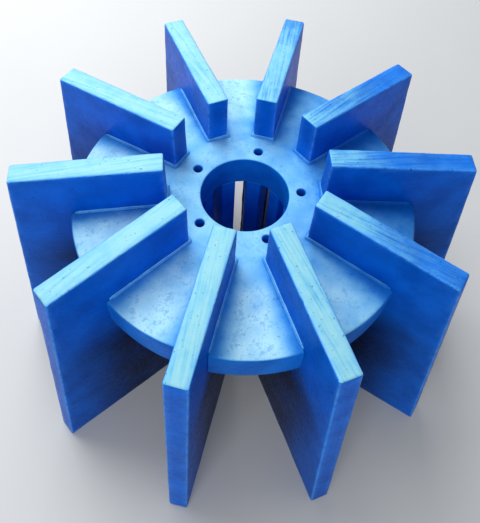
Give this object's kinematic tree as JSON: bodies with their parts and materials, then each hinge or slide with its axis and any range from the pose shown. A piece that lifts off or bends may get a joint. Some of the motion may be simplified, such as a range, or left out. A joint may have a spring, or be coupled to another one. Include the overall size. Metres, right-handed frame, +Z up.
{
  "type": "radial vane turbine runner",
  "caption": "Heavy painted runner: straight radial plate vanes through a bored, coned crown disc, with a cage of hub bars and a foot ring under it.",
  "frame": {"origin": "on the runner's axis, at floor level under the lower edges of the vanes", "axes": "+Z up along the shaft axis, +X along the middle of the first vane"},
  "size_m": [0.72, 0.694, 0.417],
  "materials": {
    "vane_paint": "semi-gloss blue paint with fine mottling",
    "crown_paint": "semi-gloss blue paint, dusty and lighter",
    "hub_paint": "satin dark blue paint"
  },
  "bodies": {
    "root": {"vane_01": "vane_paint", "vane_02": "vane_paint", "vane_03": "vane_paint", "vane_04": "vane_paint", "vane_05": "vane_paint", "vane_06": "vane_paint", "vane_07": "vane_paint", "vane_08": "vane_paint", "vane_09": "vane_paint", "vane_10": "vane_paint", "crown_disc": "crown_paint", "hub_bar_01": "hub_paint", "hub_bar_02": "hub_paint", "hub_bar_03": "hub_paint", "hub_bar_04": "hub_paint", "hub_bar_05": "hub_paint", "hub_bar_06": "hub_paint", "hub_bar_07": "hub_paint", "hub_bar_08": "hub_paint", "hub_bar_09": "hub_paint", "hub_bar_10": "hub_paint", "foot_ring": "hub_paint"}
  },
  "joints": []
}
